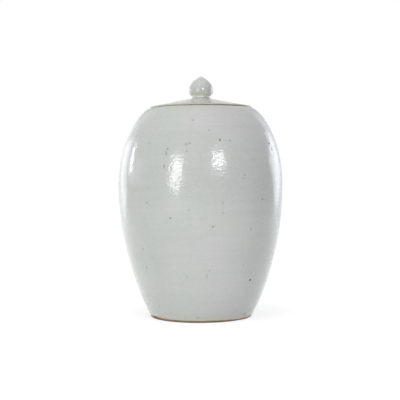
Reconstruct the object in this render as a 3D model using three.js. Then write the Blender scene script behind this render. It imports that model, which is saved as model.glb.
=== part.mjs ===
// A tall lidded stoneware jar: an egg-shaped body thrown in two halves, and a low
// conical lid with a locating flange and a bud-shaped knob.
// Millimetres, +Z up. The jar stands on z = 0 and its axis is the Z axis.

import * as THREE from 'three';

// Body: outside form
const BELLY_RADIUS = 165; // widest outside radius
const BELLY_HEIGHT = 265; // height of the widest ring, where the two halves are joined
const BODY_HEIGHT = 418.8; // height of the flat rim
const FOOT_RADIUS = 101.4; // outside radius just above the foot bevel
const MOUTH_RADIUS = 105; // outside radius just under the rim bevel
const FOOT_LEAN = 29.6; // degrees from upright at which the wall leaves the foot
const MOUTH_SLOPE = 10; // degrees from level at which the shoulder meets the rim
const FOOT_FULLNESS = 0.407; // how far the foot lean carries on, as a share of the lower half
const LOWER_FULLNESS = 0.237; // how far the belly stays upright downwards, same share
const UPPER_FULLNESS = 0.588; // how far the belly stays upright upwards, as a share of the upper half
const MOUTH_FULLNESS = 0.265; // how far the mouth slope carries on, as a share of the shoulder

// Body: clay thickness, foot and rim
const WALL = 10; // thickness of the thrown wall
const FLOOR = 12; // thickness of the floor
const FLOOR_FILLET = 24; // inside curve between floor and wall
const FOOT_BEVEL = 0.6; // bevel round the foot
const FOOT_RING_WIDTH = 16; // flat ring that the jar stands on
const FOOT_RECESS = 5; // hollow turned into the base inside the ring
const RIM_BEVEL = 1.2; // bevel round the outside of the rim
const RIM_WIDTH = 11; // from the outside of the mouth to its opening
const MOUTH_LAND = 10; // straight wall of the opening, under the rim
const LIP_START = 0.9; // share of the upper wall above which it thickens into the rim

// Joints in the clay
const SLIP_GAP = 0.3; // layer of slip between two luted pieces
const TONGUE_HEIGHT = 4; // tongue on the lower half, in a groove of the upper half
const TONGUE_SHARE = 0.36; // width of the tongue as a share of the wall

// Lid
const SEAT_GAP = 0.3; // between the rim and the lid that rests on it
const LID_INSET = 2.5; // lid edge inside the outside of the mouth
const LID_EDGE = 2.3; // thickness of the lid at its edge
const LID_RISE = 19.4; // from the underside of the edge to the seat of the knob
const LID_WALL = 7; // thickness of the lid over its hollow
const EDGE_ROUND = 0.7; // small bevel on the lid edge
const FLANGE_PLAY = 1.6; // between the flange and the opening, all round
const FLANGE_THICKNESS = 6;
const FLANGE_DEPTH = 18;
const FLANGE_TAPER = 1.2; // flange is this much smaller in radius at its lower end
const FLANGE_CHAMFER = 1; // bevel round the lower end of the flange

// Knob
const KNOB_FOOT_RADIUS = 20; // where the knob meets the lid
const KNOB_NECK_RADIUS = 18.1; // narrowest part
const KNOB_RADIUS = 24.4; // widest part of the bud
const KNOB_HEIGHT = 44.7; // from its foot to its point
const NECK_SHARE = 0.065; // height of the neck as a share of the knob
const BUD_SHARE = 0.347; // height of the widest part as a share of the knob
const NECK_FULLNESS = 0.36; // how far the neck stays upright, as a share of the swell
const SWELL_FULLNESS = 0.7; // how far the bud stays upright below its widest part, same share
const BUD_FULLNESS = 0.62; // how far the bud stays upright above its widest part
const TIP_RADIUS = 1.6; // blunt point of the bud

// Fineness of the turned surfaces
const ROUND_STEPS = 60; // facets round the axis
const WALL_STEPS = 10; // bands up one half of the wall
const CURVE_STEPS = 6; // bands along a short curve
const SEARCH_STEP = 0.005; // step in the search for the top of the floor fillet

// Heights and radii that follow from the sizes above
const rimZ = BODY_HEIGHT;
const openingRadius = MOUTH_RADIUS - RIM_WIDTH;
const floorZ = FOOT_RECESS + FLOOR;
const lidZ = rimZ + SEAT_GAP;
const lidRadius = MOUTH_RADIUS - LID_INSET;
const knobSeatZ = lidZ + LID_RISE;
const knobZ = knobSeatZ + SLIP_GAP;
const flangeZ = lidZ - SLIP_GAP;
const flangeRadius = openingRadius - FLANGE_PLAY;
const flangeBore = flangeRadius - FLANGE_THICKNESS;
const innerBellyRadius = BELLY_RADIUS - WALL;

function point(r, z) {
  return new THREE.Vector2(r, z);
}

function degrees(angle) {
  return THREE.MathUtils.degToRad(angle);
}

// Points along a curve, both ends included
function along(curve, steps) {
  return curve.getPoints(steps);
}

// The point of the inside face opposite the point t of an outside curve. The curve
// runs upwards, so the clay is to its left.
function insidePoint(curve, t) {
  const p = curve.getPoint(t);
  const d = curve.getTangent(t);
  return point(p.x - WALL * d.y, p.y + WALL * d.x);
}

// Points down the inside face, from the point t = top to the point t = bottom
function insideOf(curve, top, bottom, steps) {
  const points = [];
  for (let i = 0; i <= steps; i += 1) {
    points.push(insidePoint(curve, top + ((bottom - top) * i) / steps));
  }
  return points;
}

// Turn a half profile about Z. It starts and ends on the axis, or closes on itself.
function turned(name, profile, material) {
  const geometry = new THREE.LatheGeometry(profile, ROUND_STEPS);
  geometry.rotateX(Math.PI / 2);
  const mesh = new THREE.Mesh(geometry, material);
  mesh.name = name;
  return mesh;
}

function glaze() {
  return new THREE.MeshStandardMaterial({ color: 0xc4c8c4, roughness: 0.2, metalness: 0 });
}

function bareClay() {
  return new THREE.MeshStandardMaterial({ color: 0x7a6a52, roughness: 0.85, metalness: 0 });
}

// Outside of the lower half, from the foot bevel up to the belly
const lowerSpan = BELLY_HEIGHT - FOOT_BEVEL;
const footPull = FOOT_FULLNESS * lowerSpan;
const lowerCurve = new THREE.CubicBezierCurve(
  point(FOOT_RADIUS, FOOT_BEVEL),
  point(
    FOOT_RADIUS + footPull * Math.sin(degrees(FOOT_LEAN)),
    FOOT_BEVEL + footPull * Math.cos(degrees(FOOT_LEAN)),
  ),
  point(BELLY_RADIUS, BELLY_HEIGHT - LOWER_FULLNESS * lowerSpan),
  point(BELLY_RADIUS, BELLY_HEIGHT),
);

// Outside of the upper half, from the belly up to the rim bevel
const shoulderZ = rimZ - RIM_BEVEL;
const mouthPull = MOUTH_FULLNESS * (BELLY_RADIUS - MOUTH_RADIUS);
const upperCurve = new THREE.CubicBezierCurve(
  point(BELLY_RADIUS, BELLY_HEIGHT),
  point(BELLY_RADIUS, BELLY_HEIGHT + UPPER_FULLNESS * (shoulderZ - BELLY_HEIGHT)),
  point(
    MOUTH_RADIUS + mouthPull * Math.cos(degrees(MOUTH_SLOPE)),
    shoulderZ - mouthPull * Math.sin(degrees(MOUTH_SLOPE)),
  ),
  point(MOUTH_RADIUS, shoulderZ),
);

// The joint at the belly. The tongue stands in the middle of the wall.
const seamRadius = BELLY_RADIUS - WALL / 2;
const tongueHalf = (TONGUE_SHARE * WALL) / 2;
const grooveHalf = tongueHalf + SLIP_GAP;
const seamTopZ = BELLY_HEIGHT + SLIP_GAP;

function lowerBody() {
  const ringOut = FOOT_RADIUS - FOOT_BEVEL;
  const ringIn = ringOut - FOOT_RING_WIDTH;
  const profile = [
    point(0, FOOT_RECESS),
    point(ringIn - FOOT_RECESS, FOOT_RECESS),
    point(ringIn, 0),
    point(ringOut, 0),
  ];
  profile.push(...along(lowerCurve, WALL_STEPS));
  profile.push(
    point(seamRadius + tongueHalf, BELLY_HEIGHT),
    point(seamRadius + tongueHalf, BELLY_HEIGHT + TONGUE_HEIGHT),
    point(seamRadius - tongueHalf, BELLY_HEIGHT + TONGUE_HEIGHT),
    point(seamRadius - tongueHalf, BELLY_HEIGHT),
  );
  let bottom = 0;
  while (insidePoint(lowerCurve, bottom).y < floorZ + FLOOR_FILLET) {
    bottom += SEARCH_STEP;
  }
  const start = insidePoint(lowerCurve, bottom);
  const cornerRadius = start.x - FLOOR_FILLET * Math.tan(degrees(FOOT_LEAN));
  const fillet = new THREE.QuadraticBezierCurve(
    start,
    point(cornerRadius, floorZ),
    point(cornerRadius - FLOOR_FILLET, floorZ),
  );
  profile.push(...insideOf(lowerCurve, 1, bottom, WALL_STEPS));
  profile.push(...along(fillet, CURVE_STEPS).slice(1));
  profile.push(point(0, floorZ));
  return turned('lower_body', profile, glaze());
}

function upperBody() {
  const profile = [
    point(innerBellyRadius, seamTopZ),
    point(seamRadius - grooveHalf, seamTopZ),
    point(seamRadius - grooveHalf, seamTopZ + TONGUE_HEIGHT),
    point(seamRadius + grooveHalf, seamTopZ + TONGUE_HEIGHT),
    point(seamRadius + grooveHalf, seamTopZ),
    point(BELLY_RADIUS, seamTopZ),
  ];
  profile.push(...along(upperCurve, WALL_STEPS).slice(1));
  profile.push(
    point(MOUTH_RADIUS - RIM_BEVEL, rimZ),
    point(openingRadius + RIM_BEVEL, rimZ),
    point(openingRadius, rimZ - RIM_BEVEL),
    point(openingRadius, rimZ - MOUTH_LAND),
  );
  profile.push(...insideOf(upperCurve, LIP_START, 0, WALL_STEPS).slice(0, -1));
  profile.push(profile[0].clone());
  return turned('upper_body', profile, glaze());
}

function lidDisc() {
  const slope = (LID_RISE - LID_EDGE) / (lidRadius - KNOB_FOOT_RADIUS);
  const drop = LID_WALL * Math.sqrt(1 + slope * slope);
  const hollowZ = knobSeatZ - drop;
  const hollowRadius = KNOB_FOOT_RADIUS + (hollowZ - lidZ) / slope;
  const profile = [
    point(0, hollowZ),
    point(KNOB_FOOT_RADIUS, hollowZ),
    point(hollowRadius, lidZ),
    point(lidRadius - EDGE_ROUND, lidZ),
    point(lidRadius, lidZ + EDGE_ROUND),
    point(lidRadius, lidZ + LID_EDGE - EDGE_ROUND),
    point(lidRadius - EDGE_ROUND, lidZ + LID_EDGE + EDGE_ROUND * slope),
    point(KNOB_FOOT_RADIUS, knobSeatZ),
    point(0, knobSeatZ),
  ];
  return turned('lid_disc', profile, glaze());
}

function lidFlange() {
  const lowZ = flangeZ - FLANGE_DEPTH;
  const lowRadius = flangeRadius - FLANGE_TAPER;
  const profile = [
    point(flangeRadius, flangeZ),
    point(flangeBore, flangeZ),
    point(flangeBore, lowZ + FLANGE_CHAMFER),
    point(flangeBore + FLANGE_CHAMFER, lowZ),
    point(lowRadius - FLANGE_CHAMFER, lowZ),
    point(lowRadius, lowZ + FLANGE_CHAMFER),
    point(flangeRadius, flangeZ),
  ];
  return turned('lid_flange', profile, bareClay());
}

function lidKnob() {
  const neckZ = knobZ + NECK_SHARE * KNOB_HEIGHT;
  const budZ = knobZ + BUD_SHARE * KNOB_HEIGHT;
  const tipZ = knobZ + KNOB_HEIGHT;
  const cove = new THREE.QuadraticBezierCurve(
    point(KNOB_FOOT_RADIUS, knobZ),
    point(KNOB_NECK_RADIUS, knobZ),
    point(KNOB_NECK_RADIUS, neckZ),
  );
  const swell = new THREE.CubicBezierCurve(
    point(KNOB_NECK_RADIUS, neckZ),
    point(KNOB_NECK_RADIUS, neckZ + NECK_FULLNESS * (budZ - neckZ)),
    point(KNOB_RADIUS, budZ - SWELL_FULLNESS * (budZ - neckZ)),
    point(KNOB_RADIUS, budZ),
  );
  const bud = new THREE.CubicBezierCurve(
    point(KNOB_RADIUS, budZ),
    point(KNOB_RADIUS, budZ + BUD_FULLNESS * (tipZ - budZ)),
    point(TIP_RADIUS * 2, tipZ - TIP_RADIUS),
    point(TIP_RADIUS, tipZ - TIP_RADIUS / 2),
  );
  const profile = [point(0, knobZ)];
  profile.push(...along(cove, CURVE_STEPS / 2));
  profile.push(...along(swell, CURVE_STEPS).slice(1));
  profile.push(...along(bud, CURVE_STEPS * 2).slice(1));
  profile.push(point(0, tipZ));
  return turned('lid_knob', profile, glaze());
}

const jar = new THREE.Group();
jar.name = 'lidded_jar';
jar.add(lowerBody());
jar.add(upperBody());
jar.add(lidDisc());
jar.add(lidFlange());
jar.add(lidKnob());

export default jar;
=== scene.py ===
import math

import bpy
import numpy as np
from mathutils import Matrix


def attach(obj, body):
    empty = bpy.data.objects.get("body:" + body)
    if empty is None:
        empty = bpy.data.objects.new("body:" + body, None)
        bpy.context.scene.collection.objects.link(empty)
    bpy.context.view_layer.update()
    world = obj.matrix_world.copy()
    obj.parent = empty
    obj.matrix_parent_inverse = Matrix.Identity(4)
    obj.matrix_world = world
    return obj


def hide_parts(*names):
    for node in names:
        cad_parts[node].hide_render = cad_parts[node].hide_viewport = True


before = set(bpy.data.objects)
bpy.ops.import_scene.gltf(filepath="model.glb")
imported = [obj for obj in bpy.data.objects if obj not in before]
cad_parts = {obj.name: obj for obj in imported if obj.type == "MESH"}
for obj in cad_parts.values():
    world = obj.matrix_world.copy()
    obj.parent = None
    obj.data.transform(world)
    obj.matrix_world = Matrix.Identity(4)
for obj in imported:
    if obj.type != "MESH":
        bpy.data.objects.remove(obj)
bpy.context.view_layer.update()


# THE BODY
# An egg-shaped stoneware pot, thrown on the wheel in two halves that were luted together
# at the belly, then trimmed at the foot and dipped in a pale grey-green glaze. The rim,
# where the lid sits, and the foot were wiped clean and show the brown clay.

mm = 0.001
belly_radius, belly_height = 165.0, 265.0
foot_radius, foot_bevel, foot_lean = 101.4, 0.6, math.radians(29.6)
foot_fullness, lower_fullness = 0.407, 0.237
foot_ring_width, base_hollow = 16.0, 5.0
mouth_radius, rim_height, rim_bevel = 105.0, 418.8, 1.2
mouth_slope, mouth_fullness, upper_fullness = math.radians(10), 0.265, 0.588
wall, floor_thickness, floor_fillet = 10.0, 12.0, 24.0
rim_width, mouth_land = 11.0, 10.0

facets, wall_steps = 360, 160
bearing = np.arange(facets) * 2 * math.pi / facets  # 0 faces the front, rising to the right
bearing_degrees = (np.degrees(bearing) + 180) % 360 - 180


def bend(a, b, c, d, count):
    """Points along a smooth curve from a to d that sets out towards b and comes in from c."""
    t = np.linspace(0, 1, count)[:, None]
    a, b, c, d = (np.array(p, float) for p in (a, b, c, d))
    return a * (1 - t) ** 3 + 3 * b * t * (1 - t) ** 2 + 3 * c * t * t * (1 - t) + d * t**3


class Outline:
    """A turned outline, walked by its length in millimetres. Its outside is to the right."""

    def __init__(self, points):
        self.points = np.array(points, float)
        stretch = np.hypot(*np.diff(self.points, axis=0).T)
        self.mark = np.concatenate([[0], np.cumsum(stretch)])
        self.length = self.mark[-1]
        way = np.gradient(self.points, self.mark, axis=0)
        way /= np.linalg.norm(way, axis=1)[:, None]
        self.out = np.column_stack([way[:, 1], -way[:, 0]])

    def at(self, s, proud=0.0):
        """Radius and height at length s, standing proud of the clay by that much."""
        r, z = (np.interp(s, self.mark, self.points[:, k]) for k in (0, 1))
        out_r, out_z = (np.interp(s, self.mark, self.out[:, k]) for k in (0, 1))
        return r + proud * out_r, z + proud * out_z


lower_span = belly_height - foot_bevel
foot_pull = foot_fullness * lower_span
lower_wall = bend(
    (foot_radius, foot_bevel),
    (foot_radius + foot_pull * math.sin(foot_lean), foot_bevel + foot_pull * math.cos(foot_lean)),
    (belly_radius, belly_height - lower_fullness * lower_span),
    (belly_radius, belly_height),
    wall_steps,
)
shoulder_top = rim_height - rim_bevel
mouth_pull = mouth_fullness * (belly_radius - mouth_radius)
upper_wall = bend(
    (belly_radius, belly_height),
    (belly_radius, belly_height + upper_fullness * (shoulder_top - belly_height)),
    (mouth_radius + mouth_pull * math.cos(mouth_slope), shoulder_top - mouth_pull * math.sin(mouth_slope)),
    (mouth_radius, shoulder_top),
    wall_steps,
)
foot_edge = foot_radius - foot_bevel
outside = Outline(
    [(foot_edge, 0.0), *lower_wall, *upper_wall[1:], (mouth_radius - rim_bevel, rim_height)]
)
rim_start = outside.length - math.hypot(rim_bevel, rim_bevel)


def wander(turns, seed):
    """An uneven line round the pot, about -1 to 1, from waves of the given turns."""
    chance = np.random.default_rng(seed)
    return sum(np.sin(n * bearing + chance.uniform(0, 2 * math.pi)) for n in turns) / math.sqrt(len(turns))


def off_bearing(at):
    """How far each facet is from a bearing, both in degrees."""
    return (bearing_degrees - at + 180) % 360 - 180


def lick(at, width, size):
    """A tongue of bare clay up into the glaze line, at a bearing in degrees, or a dip if below 0."""
    return size * np.exp(-((off_bearing(at) / width) ** 2))


def near(at, height, wide, tall, z):
    """A soft patch of the wall about a bearing and a height: 1 in the middle, fading to 0."""
    return np.exp(-((off_bearing(at) / wide) ** 2) - ((z - height) / tall) ** 2)


# Where the glaze stops, as lengths up the outline: above the wiped foot, and below the rim
wiped_foot = 5.3
foot_line = wiped_foot + 0.3 * wander((2, 5, 9), 4) + 0.2 * wander((17, 23, 31), 5)
foot_line += lick(-60, 17, 3.4) + lick(47, 14, -1.8) + lick(118, 9, 2.2) + lick(201, 12, 1.5)
rim_cover = np.interp(
    bearing_degrees,
    [-180, -80, -51, -36, -23, -12, 0, 15, 27, 35, 49, 80, 180],
    [0.6, 1.25, 1.0, 0.85, 0.75, 0.5, 0.3, 0.2, 0.1, 0.35, 0.8, 1.25, 0.6],
)
rim_line = rim_start + rim_cover + 0.1 * wander((8, 14, 22), 6)

bead_steps = np.array([0.0, 0.12, 0.4, 0.9, 1.6, 2.8])
bead_proud = np.array([0.0, 0.26, 0.46, 0.52, 0.46, 0.36])  # the glaze gathers in a roll at the foot
rim_proud = np.array([0.0, 0.06, 0.11, 0.17, 0.24, 0.36])  # and draws back thin from the rim
glaze_depth = bead_proud[-1]

# Crossing waves that make the wall lumpy: waves round the pot, waves up it, start and size of each
lump_sizes = ((9, 0.12), (14, 0.075), (22, 0.042), (31, 0.026), (41, 0.017), (53, 0.011))
lump_share = 0.7
lump_waves = []
lump_chance = np.random.default_rng(21)
for turns, size in lump_sizes:
    for lean in (-1, 1):
        length = 2 * math.pi * belly_radius / turns * lump_chance.uniform(0.6, 1.0)
        start = lump_chance.uniform(0, 6.28)
        lump_waves.append((lean * turns, 2 * math.pi / length, start, size * lump_share))

fine_rings, wide_rings, slow_rings = 6.5, 10.4, 23.0  # from one throwing ring to the next
calm_foot, calm_reach = 8, 45  # the wall is even near the foot and near the rim


def ripple(z):
    """Throwing rings, hand-made lumps and an uneven swell, in millimetres, at a height."""
    patchy = 0.55 + 0.45 * np.sin(z / 37 + 2.1 * np.sin(bearing + 0.8)) * np.cos(2 * bearing + z / 61)
    patchy = patchy + 1.6 * near(14, 280, 13, 26, z) + 1.2 * near(62, 330, 12, 60, z)
    rings = 0.010 * np.sin(2 * math.pi * z / fine_rings + bearing)
    rings = rings + 0.013 * np.sin(2 * math.pi * z / wide_rings - bearing + 1.3)
    rings = rings * patchy + 0.02 * np.sin(2 * math.pi * z / slow_rings + 2 * np.sin(bearing))
    lumps = sum(size * np.sin(n * bearing + k * z + phase) for n, k, phase, size in lump_waves)
    lumps = lumps * (0.15 + 2.0 * near(60, 335, 12, 45, z))
    swell = 0.12 * np.sin(z / 31.0 + 3 * np.sin(bearing + 0.4))
    swell = swell + 0.45 * np.cos(2 * (bearing - 0.7)) + 0.2 * np.cos(3 * bearing + 1)
    calm = np.clip(np.minimum(z - calm_foot, rim_height - z) / calm_reach, 0, 1)
    return (rings + lumps) * np.minimum(1, calm * 3) + swell * calm


lean_heights = [0, 40, 90, 130, 265, 400, 450, 485]
lean_right = [-0.1, 0.3, 0.3, -0.1, -0.1, 1.9, 2.5, 2.9]


def settled(x, z):
    """The two halves dried a little out of line: above the belly the pot leans to the right."""
    return x + np.interp(z, lean_heights, lean_right)


class Rows:
    """Rings of points for a turned piece. Each ring ends one band of clay or of glaze."""

    def __init__(self):
        self.r, self.z, self.coat, self.thin, self.pool_and_painted_light = [], [], [], [], []

    def add(self, r, z, coat, thin=0.0, pool_and_painted_light=0.0):
        for store, value in ((self.r, r), (self.z, z), (self.thin, thin), (self.pool_and_painted_light, pool_and_painted_light)):
            store.append(np.broadcast_to(np.asarray(value, float), (facets,)))
        self.coat.append(coat)


CLAY, GLAZE = 0, 1


def turned_piece(name, rows, finishes, first_centre=None, last_centre=None):
    """A closed mesh from its rings, with its material by band, its thin glaze, and its pooled glaze and
    painted light and shade marked.
    """
    r, z, thin, pool_and_painted_light = (np.array(x) for x in (rows.r, rows.z, rows.thin, rows.pool_and_painted_light))
    x = settled(r * np.sin(bearing), z)
    points = np.stack([x, -r * np.cos(bearing), z], axis=2).reshape(-1, 3).tolist()
    thin, pool_and_painted_light = thin.ravel().tolist(), pool_and_painted_light.ravel().tolist()
    count = len(r)
    here = np.arange(facets)
    after = (here + 1) % facets
    last = (count - 1) * facets
    faces, coats = [], []
    for k in range(count - 1):
        a, b = k * facets, (k + 1) * facets
        faces += np.column_stack([a + here, a + after, b + after, b + here]).tolist()
        coats += [rows.coat[k + 1]] * facets
    if first_centre is None:
        faces += np.column_stack([last + here, last + after, after, here]).tolist()
        coats += [rows.coat[0]] * facets
    else:
        for height in (first_centre, last_centre):
            points.append((float(settled(0.0, height)), 0.0, height))
            thin.append(0.0)
            pool_and_painted_light.append(0.0)
        low, high = len(points) - 2, len(points) - 1
        faces += [(low, after[j], here[j]) for j in range(facets)]
        coats += [rows.coat[0]] * facets
        faces += [(last + here[j], last + after[j], high) for j in range(facets)]
        coats += [rows.coat[-1]] * facets
    mesh = bpy.data.meshes.new(name)
    mesh.from_pydata((np.array(points) * mm).tolist(), [], faces)
    for finish in finishes:
        mesh.materials.append(finish)
    mesh.polygons.foreach_set("material_index", coats)
    mesh.polygons.foreach_set("use_smooth", [True] * len(faces))
    mesh.attributes.new("thin", "FLOAT", "POINT").data.foreach_set("value", thin)
    mesh.attributes.new("pool_and_painted_light", "FLOAT", "POINT").data.foreach_set("value", pool_and_painted_light)
    mesh.update()
    piece = bpy.data.objects.new(name, mesh)
    bpy.context.scene.collection.objects.link(piece)
    return piece


def add(tree, kind, feed=None, **settings):
    """A shader node with its settings, fed by numbers or by other nodes' sockets."""
    node = tree.nodes.new("ShaderNode" + kind)
    for key, value in settings.items():
        setattr(node, key, value)
    for key, value in (feed or {}).items():
        if isinstance(value, bpy.types.NodeSocket):
            tree.links.new(value, node.inputs[key])
        else:
            node.inputs[key].default_value = value
    return node


def cloudy(tree, place, scale, detail=2.0, rough=0.5):
    """Soft noise, about 0.3 to 0.7, with patches about 1/scale metres across."""
    feed = {"Vector": place, "Scale": scale, "Detail": detail, "Roughness": rough}
    return add(tree, "TexNoise", feed).outputs["Fac"]


def spread(tree, value, low, high, to_low=0.0, to_high=1.0, smooth=False):
    """The value read between low and high and set between two others, held at the ends."""
    feed = {"Value": value, "From Min": low, "From Max": high, "To Min": to_low, "To Max": to_high}
    way = "SMOOTHSTEP" if smooth else "LINEAR"
    return add(tree, "MapRange", feed, interpolation_type=way).outputs["Result"]


def tint(tree, share, a, b, way="MIX"):
    """Colour a turned towards colour b by a share."""
    a, b = (x if isinstance(x, bpy.types.NodeSocket) else (*x, 1) for x in (a, b))
    return add(tree, "Mix", {0: share, 6: a, 7: b}, data_type="RGBA", blend_type=way).outputs[2]


def reckon(tree, way, a, b):
    """Two values added, multiplied or compared."""
    return add(tree, "Math", {0: a, 1: b}, operation=way).outputs[0]


# A mark is full inside its core and gone at its edge, both as shares of its radius
mark_core, mark_edge = 0.35, 1.5


def spots(tree, place, marks, stretch=1.0):
    """Where listed marks lie: each is a point, a radius in millimetres and a depth. Stretch draws
    them out upwards."""
    if stretch != 1:
        place = add(tree, "VectorMath", {0: place, 1: (1, 1, 1 / stretch)}, operation="MULTIPLY").outputs[0]
    total = None
    for (x, y, z), size, depth in marks:
        centre = (x, y, z / stretch)
        far = add(tree, "VectorMath", {0: place, 1: centre}, operation="DISTANCE").outputs["Value"]
        mark = spread(tree, far, size * mm * mark_core, size * mm * mark_edge, depth, 0.0, True)
        total = mark if total is None else reckon(tree, "MAXIMUM", total, mark)
    return total


grey_green = (0.510, 0.540, 0.507)
grey_warm = (0.533, 0.534, 0.526)
# the darker tone of thicker glaze, also laid on as painted shade
pool_and_shade_green = (0.43, 0.465, 0.425)
thin_glaze, clay_through = (0.58, 0.535, 0.435), (0.34, 0.31, 0.26)
iron_and_pit_black = (0.030, 0.027, 0.024)
iron_brown = (0.21, 0.17, 0.09)
body_peel = 0.00028  # depth of the pitting, in metres
smear_stretch = 2.6
body_tones = (grey_green, grey_warm, pool_and_shade_green)


def glaze_finish(name, specks, stains=(), smears=(), peel=body_peel, tones=body_tones):
    """Glossy pale glaze: clouded, streaked by the wheel, pitted like orange peel and specked with iron; on
    the knob the one dark mark is painted shade of a pit.
    """
    finish = bpy.data.materials.new(name)
    finish.use_nodes = True
    tree = finish.node_tree
    shader = tree.nodes["Principled BSDF"]
    place = add(tree, "TexCoord").outputs["Object"]

    # Clouds of greener and warmer glaze, warmer towards the right, and turned to the third tone by the
    # pooled and painted-light share: thicker glaze, painted shade on the body's right flank, and painted
    # light on the knob's neck
    cloud = cloudy(tree, place, 11.0, 3.0)
    side = add(tree, "VectorMath", {0: place, 1: (4.2, 0.0, 1.0)}, operation="DOT_PRODUCT").outputs["Value"]
    warm = reckon(tree, "ADD", spread(tree, cloud, 0.36, 0.64), side)
    colour = tint(tree, spread(tree, warm, 0.2, 1.1), tones[0], tones[1])
    pool_and_light_share = add(tree, "Attribute", None, attribute_name="pool_and_painted_light").outputs["Fac"]
    colour = tint(tree, pool_and_light_share, colour, tones[2])

    # Faint streaks left by the wheel, a fine mottle, and the pits and brush lines that also catch the light
    stretched = add(tree, "Mapping", {"Vector": place, "Scale": (6.0, 6.0, 120.0)}).outputs["Vector"]
    streak = cloudy(tree, stretched, 1.0, 3.0)
    colour = tint(tree, spread(tree, streak, 0.3, 0.7), colour, (0.957, 0.957, 0.96), "MULTIPLY")
    fine = cloudy(tree, place, 160.0, 3.0, 0.6)
    colour = tint(tree, spread(tree, fine, 0.3, 0.75), colour, (0.955, 0.958, 0.955), "MULTIPLY")
    turned = add(tree, "Mapping", {"Vector": place, "Scale": (240.0, 240.0, 330.0)}).outputs["Vector"]
    dimple = cloudy(tree, turned, 1.0, 0.0)
    brushed = add(tree, "Mapping", {"Vector": place, "Scale": (110.0, 110.0, 400.0)}).outputs["Vector"]
    grain = cloudy(tree, brushed, 1.0, 0.0)
    for texture in (dimple, grain):
        colour = tint(tree, spread(tree, texture, 0.3, 0.7), colour, (0.990, 0.990, 0.990), "MULTIPLY")

    # Paler where the glaze is thin, and then the clay shows through
    edge = add(tree, "Attribute", None, attribute_name="thin").outputs["Fac"]
    colour = tint(tree, spread(tree, edge, 0.0, 0.5), colour, thin_glaze)
    colour = tint(tree, spread(tree, edge, 0.5, 1.0), colour, clay_through)

    # Iron: a scatter of fine dust, then the listed marks
    cells = add(tree, "TexVoronoi", {"Vector": place, "Scale": 62.0})
    chosen = add(tree, "SeparateColor", {"Color": cells.outputs["Color"]}).outputs["Red"]
    reach = spread(tree, chosen, 0.78, 1.0, 0.0, 0.08)
    dust = reckon(tree, "LESS_THAN", cells.outputs["Distance"], reach)
    dark = reckon(tree, "MULTIPLY", dust, 0.6)
    dark = reckon(tree, "MAXIMUM", dark, spots(tree, place, specks))
    if stains:
        colour = tint(tree, spots(tree, place, stains), colour, iron_brown)
    if smears:
        colour = tint(tree, spots(tree, place, smears, smear_stretch), colour, iron_brown)
    colour = tint(tree, dark, colour, iron_and_pit_black)
    tree.links.new(colour, shader.inputs["Base Color"])

    # The gloss comes and goes in fine patches, is hazier on the right flank and dull on the iron
    spot = add(tree, "SeparateXYZ", {0: place}).outputs
    gloss = spread(tree, cloudy(tree, place, 700.0, 1.0), 0.3, 0.7, 0.05, 0.28)
    hazy_right = spread(tree, spot["X"], 0.11, 0.15, 0.0, 0.08)
    gloss = reckon(tree, "ADD", gloss, hazy_right)
    gloss = reckon(tree, "ADD", gloss, reckon(tree, "MULTIPLY", dark, 0.25))
    tree.links.new(gloss, shader.inputs["Roughness"])

    shine = spread(tree, grain, 0.3, 0.7, 0.34, 0.66)
    shine = reckon(tree, "MULTIPLY", shine, spread(tree, dark, 0.0, 0.7, 1.0, 0.0))
    tree.links.new(shine, shader.inputs["Specular IOR Level"])
    # Orange-peel pits, shallower on the left flank and on the lower half
    smoother_left = spread(tree, spot["X"], -0.14, -0.08, 0.4, 1.0)
    smoother_low = spread(tree, spot["Z"], 0.243, 0.266, 0.4, 1.0)
    uneven = reckon(tree, "MULTIPLY", smoother_left, smoother_low)
    pits = add(tree, "Bump", {"Height": dimple, "Strength": uneven, "Distance": peel})
    tree.links.new(pits.outputs["Normal"], shader.inputs["Normal"])
    shader.inputs["IOR"].default_value = 1.58
    return finish


def clay_finish(name):
    """Bare fired stoneware: toasted brown, gritty and matt."""
    finish = bpy.data.materials.new(name)
    finish.use_nodes = True
    tree = finish.node_tree
    shader = tree.nodes["Principled BSDF"]
    place = add(tree, "TexCoord").outputs["Object"]
    toast = spread(tree, cloudy(tree, place, 38.0, 4.0, 0.6), 0.32, 0.68)
    colour = tint(tree, toast, (0.25, 0.197, 0.125), (0.42, 0.342, 0.23))
    grit = spread(tree, cloudy(tree, place, 700.0, 2.0, 0.6), 0.35, 0.7)
    colour = tint(tree, grit, colour, (0.68, 0.66, 0.62), "MULTIPLY")
    # Darkened towards near-black by the thin attribute: painted contact shade at the lowest edge of the
    # foot, and darker clay by bearing along the rim and the lid's edge
    edge = add(tree, "Attribute", None, attribute_name="thin").outputs["Fac"]
    colour = tint(tree, edge, colour, (0.10, 0.065, 0.038))
    tree.links.new(colour, shader.inputs["Base Color"])
    rough = spread(tree, toast, 0.0, 1.0, 0.72, 0.9)
    tree.links.new(rough, shader.inputs["Roughness"])
    tooth = cloudy(tree, place, 900.0, 3.0, 0.65)
    bump = add(tree, "Bump", {"Height": tooth, "Strength": 1.0, "Distance": 0.00025})
    tree.links.new(bump.outputs["Normal"], shader.inputs["Normal"])
    return finish


def on_body(degrees, height):
    """The point of the glazed wall at a bearing and a height in millimetres."""
    wall_points = outside.points[1:-1]
    r = np.interp(height, wall_points[:, 1], wall_points[:, 0]) + glaze_depth
    turn = math.radians(degrees)
    x = settled(r * math.sin(turn), height)
    return (float(x) * mm, -r * math.cos(turn) * mm, height * mm)


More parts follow.
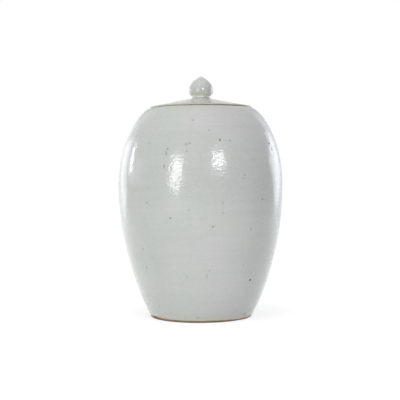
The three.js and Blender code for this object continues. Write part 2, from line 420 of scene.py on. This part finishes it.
# Iron marks on the front of the body: bearing, height, radius and darkness
front_specks = [
    (13.6, 349.3, 1.9, 0.95), (21.2, 347.8, 1.6, 0.5), (-6.3, 387.5, 1.9, 0.5), (5.8, 367.9, 1.5, 0.45),
    (-39.9, 346.6, 1.6, 0.4), (-23.2, 333.6, 1.8, 0.6), (-58.2, 362.0, 1.8, 0.35), (59.7, 344.2, 2.6, 0.95),
    (62.0, 333.1, 2.3, 1.0), (30.5, 284.0, 1.7, 0.5), (38.3, 311.7, 1.6, 0.35), (45.7, 238.1, 1.8, 0.75),
    (14.6, 232.8, 1.6, 0.4), (14.7, 214.2, 1.7, 0.5), (-20.3, 204.7, 1.8, 0.7), (8.0, 188.4, 1.8, 0.65),
    (36.4, 181.7, 1.8, 0.5), (-37.6, 232.8, 1.9, 0.4), (-7.7, 219.6, 1.6, 0.35), (-46.2, 143.9, 1.7, 0.55),
    (-46.4, 107.4, 1.8, 0.75), (6.2, 104.8, 1.7, 0.45), (42.8, 82.3, 2.3, 1.0), (-44.0, 31.2, 1.8, 0.35),
    (-32.3, 19.2, 1.7, 0.35), (-3.4, 10.9, 2.2, 0.25), (-5.2, 10.6, 1.6, 0.2), (-16.5, 11.5, 1.8, 0.2),
]
front_stains = [
    (-10.1, 341.9, 3.2, 0.4), (-7.7, 343.2, 2.2, 0.55), (-9.5, 328.8, 2.0, 0.4), (-10.8, 93.8, 2.4, 0.25),
    (61.0, 17.7, 2.8, 0.6), (52.5, 10.5, 4.5, 0.5),
]
front_smears = [(-24.0, 325.4, 1.9, 0.5), (-24.6, 301.1, 1.6, 0.6), (4.2, 94.6, 1.7, 0.5)]
speck_chance = np.random.default_rng(31)
back_specks = speck_chance.uniform((72, 20, 1.4, 0.3), (288, 395, 2.1, 0.9), (26, 4)).tolist()
body_specks, body_stains, body_smears = (
    [(on_body(b, z), size, depth) for b, z, size, depth in marks]
    for marks in (front_specks + back_specks, front_stains, front_smears)
)

clay = clay_finish("bare_clay")
body_glaze = glaze_finish("body_glaze", body_specks, body_stains, body_smears)


# Patches where the glaze lies thicker and darker, those on the right flank at bearings 58 and 62 being
# painted shade: depth, bearing, height, and how far round and up each reaches
pool_and_shade_patches = [
    (0.25, 43, 140, 10, 75), (0.25, -40, 170, 10, 55), (0.2, -34, 110, 8, 40),
    (0.45, 58, 265, 14, 55), (0.5, 62, 140, 22, 110), (0.2, -20, 185, 20, 40),
]


def pools_and_painted_shade(z):
    """Where the wall turns darker, from 0 to 1: thicker glaze, and painted shade on the right flank."""
    return sum(depth * near(at, height, wide, tall, z) for depth, at, height, wide, tall in pool_and_shade_patches)


rim_fade = np.interp(
    bearing_degrees,
    [-180, -60, -30, 0, 30, 60, 180],
    [0.4, 0.1, 0.4, 0.5, 0.45, 0.35, 0.4],
)
foot_fade, foot_fade_reach, rim_fade_reach, rim_dark_reach = 0.6, 4.0, 5, 9


def drawn_thin(s):
    """How far the glaze has drawn thin, near the foot and near the rim, from 0 to 1."""
    from_rim = rim_line - s
    at_foot = foot_fade * np.exp((foot_line - s) / foot_fade_reach)
    return at_foot + rim_fade * np.exp(-from_rim / rim_fade_reach)


body_rows = Rows()
for r in np.arange(6.0, 75.0, 3.0):
    body_rows.add(r, base_hollow + 0.12 * np.sin(r * 1.7 + bearing), CLAY)
ring_inner = foot_edge - foot_ring_width
for off_ring, z in [(-6.0, 5.0), (-4.3, 4.7), (-0.3, 0.7), (0.7, 0.1), (1.5, 0.0)]:
    body_rows.add(ring_inner + off_ring, z, CLAY)
contact_shade = 0.7  # painted shade: the lowest edge of the foot is darkened where it meets the table
body_rows.add(foot_edge - 0.8, 0, CLAY, contact_shade)
body_rows.add(foot_edge - 0.1, 0.15, CLAY, contact_shade)
for share in np.linspace(0.08, 1, 7):
    body_rows.add(*outside.at(share * foot_line), CLAY, contact_shade * (1 - share))
for step, proud in zip(bead_steps[1:], bead_proud[1:]):
    s = foot_line + step
    body_rows.add(*outside.at(s, proud), GLAZE, drawn_thin(s))
first_even, last_even = 24.0, outside.length - 22.0
low_mark, high_mark = foot_line + bead_steps[-1], rim_line - bead_steps[-1]
marks = [low_mark + (first_even - low_mark) * k / 8 for k in range(1, 8)]
marks += [np.full(facets, s) for s in np.linspace(first_even, last_even, 330)]
marks += [last_even + (high_mark - last_even) * k / 12 for k in range(1, 13)]
for s in marks:
    height = outside.at(s)[1]
    # Darker in the patches above, and in a band that fades down from the rim line
    darkened = pools_and_painted_shade(height) + 2 * rim_fade * np.exp((s - rim_line) / rim_dark_reach)
    body_rows.add(*outside.at(s, glaze_depth + ripple(height)), GLAZE, drawn_thin(s), darkened)
for step, proud in zip(bead_steps[-2::-1], rim_proud[-2::-1]):
    s = rim_line - step
    body_rows.add(*outside.at(s, proud), GLAZE, drawn_thin(s))
opening = mouth_radius - rim_width
rim_dark = np.interp(
    bearing_degrees,
    [-180, -75, -62, -50, -38, -24, -12, 0, 27, 50, 75, 180],
    [0.5, 0.5, 0.6, 0.4, 0.0, 0.05, 0.25, 0.4, 0.6, 0.5, 0.4, 0.5],
)
for share in (0.4, 0.8):
    body_rows.add(*outside.at(rim_line + (outside.length - rim_line) * share), CLAY, rim_dark)
for r, z in [
    (mouth_radius - rim_bevel - 0.3, rim_height),
    (99.0, rim_height),
    (opening + rim_bevel + 0.3, rim_height),
    (opening + 0.3, rim_height - 0.4),
    (opening, rim_height - 1.5),
    (opening, rim_height - 6.0),
]:
    body_rows.add(r, z, CLAY)


def inside_of(points):
    """The inside face of a wall, set in from its outside by the thickness of the clay."""
    walk = Outline(points)
    return np.column_stack(walk.at(walk.mark, -wall))


upper_inside = inside_of(upper_wall)
lip_start = 0.9  # above this share of the upper wall the clay thickens into the rim
upper_inside = upper_inside[: int(lip_start * len(upper_inside))]
lower_inside = inside_of(lower_wall)
floor_height = base_hollow + floor_thickness
lower_inside = lower_inside[lower_inside[:, 1] > floor_height + floor_fillet]
start = lower_inside[0]
corner = start[0] - floor_fillet * math.tan(foot_lean)
fillet = bend(
    start,
    (corner + (start[0] - corner) / 3, floor_height + floor_fillet / 3),
    (corner - floor_fillet / 3, floor_height),
    (corner - floor_fillet, floor_height),
    12,
)
mouth_edge, floor_middle = (opening, rim_height - mouth_land), (20.0, floor_height)
inside = Outline([mouth_edge, *upper_inside[::-1], *lower_inside[::-1], *fillet[1:], floor_middle])
inner_line = 0.4 + 0.3 * (1 + wander((4, 9, 15), 8))
body_rows.add(*inside.at(inner_line), CLAY, 0.3)
for step, proud in zip(bead_steps[1:], bead_proud[1:]):
    body_rows.add(*inside.at(inner_line + step, proud), GLAZE, 0.7 * (1 - step / bead_steps[-1]))
for s in np.linspace(9.0, inside.length, 90):
    r, z = inside.at(s, glaze_depth)
    luting_ridge = 0.7 * np.exp(-(((z - belly_height) / 5) ** 2))
    body_rows.add(r - luting_ridge + 0.18 * np.sin(2 * math.pi * s / 17 + bearing), z, GLAZE)
body = turned_piece("body", body_rows, [clay, body_glaze], base_hollow, floor_height + glaze_depth)
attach(body, "jar")
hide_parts("lower_body", "upper_body")


# THE LID
# A low cone of the same clay, thrown upside down and trimmed, glazed on top and bare on
# its edge and underside. It lies loose on the bare rim of the mouth.

seat_gap = 0.3
lid_bottom = rim_height + seat_gap
lid_radius, lid_edge, lid_rise, lid_wall, lid_coat = 102.5, 2.3, 19.4, 7.0, 0.3
knob_foot = 20.0
lid_top = lid_bottom + lid_rise
lid_slope = (lid_rise - lid_edge) / (lid_radius - knob_foot)
hollow_top = lid_top - lid_wall * math.hypot(1, lid_slope)
hollow_radius = knob_foot + (hollow_top - lid_bottom) / lid_slope

lid_specks = [
    ((0.031, -0.052, 0.4337), 1.2, 0.5),
    ((-0.048, 0.037, 0.4323), 1.4, 0.5),
    ((0.022, 0.066, 0.431), 1.3, 0.6),
]
lid_green, lid_grey, lid_olive = (0.511, 0.529, 0.504), (0.518, 0.527, 0.505), (0.43, 0.45, 0.36)
lid_peel = 0.00015
lid_glaze = glaze_finish("lid_glaze", lid_specks, peel=lid_peel, tones=(lid_green, lid_grey, lid_olive))

lid_rows = Rows()
for r, z in [(10.0, hollow_top), (knob_foot, hollow_top)]:
    lid_rows.add(r, z, CLAY)
for share in np.linspace(0.1, 1, 10):
    r = knob_foot + (hollow_radius - knob_foot) * share
    z = hollow_top + (lid_bottom - hollow_top) * share
    lid_rows.add(r, z + 0.12 * np.sin(r * 1.3 + bearing) * (share < 1), CLAY)
lid_rows.add(hollow_radius + 2, lid_bottom, CLAY)
lid_rows.add(lid_radius - 6, lid_bottom, CLAY)
lid_rows.add(lid_radius - 0.8, lid_bottom, CLAY)
lid_rows.add(lid_radius - 0.15, lid_bottom + 0.12, CLAY)
# The glazed edge of the lid turns towards the darker olive tone, fully at the front and less at the sides.
front_edge_olive = np.interp(np.abs(bearing_degrees), [0, 28, 48, 180], [1.0, 1.0, 0.3, 0.3])
bare_edge = 0.38 + 0.12 * wander((3, 7, 12, 19), 11)
lid_rows.add(lid_radius, lid_bottom + bare_edge, CLAY, rim_dark)
lid_rows.add(lid_radius + 0.1, lid_bottom + bare_edge + 0.12, GLAZE, 0.35, 0.9 * front_edge_olive)
lid_rows.add(lid_radius + 0.12, lid_bottom + bare_edge + 0.5, GLAZE, 0.1, front_edge_olive)
lid_rows.add(lid_radius - 0.35, lid_bottom + lid_edge - 0.1, GLAZE, 0.0, 0.9 * front_edge_olive)
lid_rows.add(lid_radius - 1.2, lid_bottom + lid_edge + 0.35, GLAZE, 0.0, 0.5 * front_edge_olive)
for r in np.linspace(lid_radius - 3, knob_foot - 3, 40):
    z = lid_bottom + lid_edge + (lid_radius - r) * lid_slope + lid_coat
    wave = 0.045 * np.sin(r * 0.9 + bearing) + 0.12 * np.sin(r * 0.11 + 2 * bearing)
    round_knob = 0.6 * math.exp(-max(0.0, r - knob_foot) / 3)
    lid_rows.add(r, np.minimum(z + wave, lid_top + lid_coat), GLAZE, 0.0, round_knob)
lid_rows.add(10.0, lid_top, CLAY)
lid = turned_piece("lid", lid_rows, [clay, lid_glaze], hollow_top, lid_top)
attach(lid, "lid")
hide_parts("lid_disc")


# THE FLANGE
# A plain ring of clay luted under the lid. It hangs inside the mouth and keeps the lid
# from sliding off. It is bare, with the marks of the wheel left on it.

slip_gap = 0.3  # the layer of slip that a luted piece is set in
flange_top = lid_bottom - slip_gap
flange_radius, flange_bore, flange_depth, flange_taper, flange_round = 92.4, 86.4, 18.0, 1.2, 1.2
flange_low = flange_top - flange_depth
low_radius = flange_radius - flange_taper
flange_rows = Rows()
for share in np.linspace(0, 1, 14):
    r = flange_bore + 0.15 * np.sin(share * 22 + bearing) * (0 < share < 1)
    flange_rows.add(r, flange_top - 0.02 - (flange_depth - flange_round) * share, CLAY)
lower_edge = [
    (flange_bore + 0.4, 0.3),
    (flange_bore + flange_round, 0.0),
    (low_radius - flange_round, 0.0),
    (low_radius - 0.35, 0.35),
]
for r, z in lower_edge:
    flange_rows.add(r, flange_low + z, CLAY)
for share in np.linspace(0, 1, 14):
    r = low_radius + flange_taper * share + 0.15 * np.sin(share * 19 + bearing) * (0 < share < 1)
    flange_rows.add(r, flange_low + flange_round + (flange_depth - flange_round - 0.02) * share, CLAY)
flange = turned_piece("flange", flange_rows, [clay])
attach(flange, "lid")
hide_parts("lid_flange")


# THE KNOB
# A bud on a short neck, thrown off the hump, luted to the middle of the lid and glazed
# with it. The neck has a pale olive band: greener glaze pooled in its hollow, painted far paler than the
# bud as painted light that lifts the shade there.

knob_bottom = lid_top + slip_gap
neck_radius, knob_radius, knob_height = 18.1, 24.4, 44.7
neck_share, bud_share = 0.065, 0.347  # heights of the neck and of the widest part, as shares of the knob
neck_fullness, swell_fullness, bud_fullness = 0.36, 0.7, 0.62
neck_height, bud_height, knob_tip = (
    knob_bottom + knob_height * share for share in (neck_share, bud_share, 1)
)
tip_radius = 1.6
swell = bud_height - neck_height
cove = bend(
    (knob_foot, knob_bottom),
    (neck_radius + 0.6, knob_bottom),
    (neck_radius, knob_bottom + 1),
    (neck_radius, neck_height),
    8,
)
belly = bend(
    (neck_radius, neck_height),
    (neck_radius, neck_height + neck_fullness * swell),
    (knob_radius, bud_height - swell_fullness * swell),
    (knob_radius, bud_height),
    24,
)
bud = bend(
    (knob_radius, bud_height),
    (knob_radius, bud_height + bud_fullness * (knob_tip - bud_height)),
    (tip_radius * 2, knob_tip - tip_radius),
    (tip_radius, knob_tip - tip_radius / 2),
    40,
)
knob_side = Outline([*cove, *belly[1:], *bud[1:], (0.5, knob_tip - 0.1)])
# The pit in the neck is only a dark mark with no hole cut: painted shade.
pit_turn = math.radians(38)
pit_x, pit_y, pit_z = neck_radius * math.sin(pit_turn), -neck_radius * math.cos(pit_turn), neck_height + 0.6
pit_point = (pit_x * mm, pit_y * mm, pit_z * mm)
knob_green, knob_grey = (0.517, 0.538, 0.502), (0.531, 0.541, 0.517)
# painted light: the pooled olive of the neck is made far paler than the bud to lift the shade in its hollow
olive_and_painted_light = (0.79, 0.80, 0.70)
knob_peel = 0.00006
knob_glaze = glaze_finish(
    "knob_glaze", [(pit_point, 2.0, 0.9)], peel=knob_peel, tones=(knob_green, knob_grey, olive_and_painted_light)
)
below_neck, above_neck = 5.0, 8.0  # how far the pale olive band of pooled glaze and painted light reaches
knob_rows = Rows()
knob_rows.add(knob_foot - 4, knob_bottom, CLAY)
for s in np.linspace(0, knob_side.length, 70):
    proud = 0.3 * min(1, (knob_side.length - s) / 4)
    r, z = knob_side.at(s, proud)
    off_round = 0.18 * np.cos(2 * bearing + 0.5) + 0.1 * np.cos(3 * bearing)
    neck_band_reach = below_neck if z < neck_height else above_neck
    neck_olive_and_light = 0.9 * math.exp(-(((z - neck_height) / neck_band_reach) ** 2))
    knob_rows.add(r * (1 + off_round / knob_radius), z, GLAZE, 0.0, neck_olive_and_light)
knob = turned_piece("knob", knob_rows, [clay, knob_glaze], knob_bottom, knob_tip)
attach(knob, "lid")
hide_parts("lid_knob")


# THE STUDIO
# A white table that runs out to a white surround, two soft boxes in front, a large one
# overhead, panels at the sides and behind them, and the camera of the photograph.

table = bpy.data.meshes.new("table")
table_reach, table_height = 6, -0.0003  # just under the foot
table_corners = [(-table_reach, -table_reach), (table_reach, -table_reach)]
table_corners += [(table_reach, table_reach), (-table_reach, table_reach)]
table.from_pydata([(x, y, table_height) for x, y in table_corners], [], [(0, 1, 2, 3)])
table_top = bpy.data.objects.new("table_top", table)
bpy.context.scene.collection.objects.link(table_top)
white = bpy.data.materials.new("white_table")
white.use_nodes = True
tree = white.node_tree
tree.nodes.clear()
path = add(tree, "LightPath").outputs
reflected = reckon(tree, "MAXIMUM", path["Is Glossy Ray"], path["Is Transmission Ray"])
seen = reckon(tree, "MAXIMUM", path["Is Camera Ray"], reflected)
paper = tint(tree, path["Is Camera Ray"], (0.9, 0.9, 0.9), (0.35, 0.35, 0.35))
spot = add(tree, "NewGeometry").outputs["Position"]
far_off = add(tree, "VectorMath", {0: spot}, operation="LENGTH").outputs["Value"]
shown = spread(tree, far_off, 0.2, 0.6, 0.78, 1.0)
bounce = 0.16  # what the table gives back to the jar
strength = add(tree, "Mix", {0: seen, 2: bounce, 3: shown}).outputs[0]
glow = add(tree, "Emission", {"Color": (1, 1, 1, 1), "Strength": strength}).outputs[0]
matt = add(tree, "BsdfDiffuse", {"Color": paper}).outputs[0]
both = add(tree, "AddShader", {0: matt, 1: glow}).outputs[0]
add(tree, "OutputMaterial", {"Surface": both})
table.materials.append(white)

world = bpy.data.worlds.new("white_surround")
bpy.context.scene.world = world
world.use_nodes = True
tree = world.node_tree
tree.nodes.clear()
path = add(tree, "LightPath").outputs
shine = reckon(tree, "MAXIMUM", path["Is Glossy Ray"], path["Is Transmission Ray"])
way = add(tree, "SeparateXYZ", {0: add(tree, "TexCoord").outputs["Generated"]}).outputs
above = spread(tree, way["Z"], 0.2, 0.36)
behind = spread(tree, way["Y"], 0.72, 0.88, 0.0, 0.35)
shine = reckon(tree, "SUBTRACT", shine, reckon(tree, "MULTIPLY", above, behind))
seen = reckon(tree, "MAXIMUM", path["Is Camera Ray"], shine)
strength = spread(tree, seen, 0.0, 1.0, 0.1, 1.0)
surround = add(tree, "Background", {"Color": (1, 1, 1, 1), "Strength": strength}).outputs[0]
add(tree, "OutputWorld", {"Surface": surround})


white_light = (1, 1, 1)
aim = 0.3  # height on the jar that the lamps face


def soft_box(
    name, azimuth, elevation, far, wide, tall, brightness, colour=white_light, shape="RECTANGLE", lean=0
):
    """A flat lamp at a bearing from the front and a rise, both in degrees, facing the jar from far metres
    away. Lean turns it about its own beam."""
    lamp = bpy.data.lights.new(name, "AREA")
    lamp.shape = shape
    lamp.size, lamp.size_y = wide, tall
    lamp.color = colour
    area = wide * tall * (math.pi / 4 if shape == "ELLIPSE" else 1)
    lamp.energy = brightness * math.pi * area
    stand = bpy.data.objects.new(name, lamp)
    turn, rise = math.radians(azimuth), math.radians(elevation)
    stand.location = (
        far * math.sin(turn) * math.cos(rise),
        -far * math.cos(turn) * math.cos(rise),
        aim + far * math.sin(rise),
    )
    stand.rotation_euler = (math.pi / 2 - rise, math.radians(lean), turn)
    stand.visible_camera = False
    bpy.context.scene.collection.objects.link(stand)
    return stand


left_blue, right_blue, front_blue = (0.93, 0.935, 1.0), (0.88, 0.91, 1.0), (0.95, 0.955, 1.0)
glow_blue = (0.84, 0.86, 1.0)
# Each line: name, bearing, rise, distance, width, height, brightness, then colour, shape and lean
soft_box("left_soft_box", -32.7, 9.7, 2.0, 0.49, 0.88, 9.2, lean=6)
soft_box("right_soft_box", 24.3, 19.5, 2.0, 0.48, 0.43, 13.5, front_blue)
overhead = soft_box("overhead", -25, 79.5, 2.2, 1.6, 1.6, 3.85)
overhead.visible_glossy = False
soft_box("left_panel", -132.7, 4.4, 2.0, 0.70, 0.90, 1.95, left_blue, lean=-25)
soft_box("left_back", -151, 4, 2.2, 0.62, 1.0, 0.4, left_blue, lean=-25)
soft_box("left_sail", -141, 23, 2.0, 0.52, 0.6, 0.4, left_blue, lean=-25)
soft_box("left_glow", -101, 8, 2.0, 1.0, 0.58, 1.0, glow_blue)
soft_box("left_strip", -113.6, 12.8, 1.8, 0.20, 0.46, 6.5, left_blue, lean=-20)
soft_box("right_panel", 128.5, 6.6, 2.0, 0.98, 1.0, 3.3, right_blue, "ELLIPSE")
soft_box("right_back", 148, 4, 2.2, 0.62, 1.0, 0.35, right_blue)
soft_box("right_sail", 141, 21.5, 2.0, 0.54, 0.52, 0.75, right_blue, lean=25)

scene = bpy.context.scene
scene.view_settings.view_transform = "Standard"
lens = bpy.data.cameras.new("camera")
film_width, photo_width, lens_pixels = 36, 400, 918  # millimetres, pixels, focal length in pixels
camera_tilt, camera_roll = 1.385, 0.44  # degrees down and to the side
lens.sensor_width = film_width
lens.lens = film_width * lens_pixels / photo_width
camera = bpy.data.objects.new("camera", lens)
camera.location = (-0.0007, -1.859, 0.2791)
camera.rotation_euler = (math.radians(90 - camera_tilt), math.radians(camera_roll), 0)
scene.collection.objects.link(camera)
scene.camera = camera
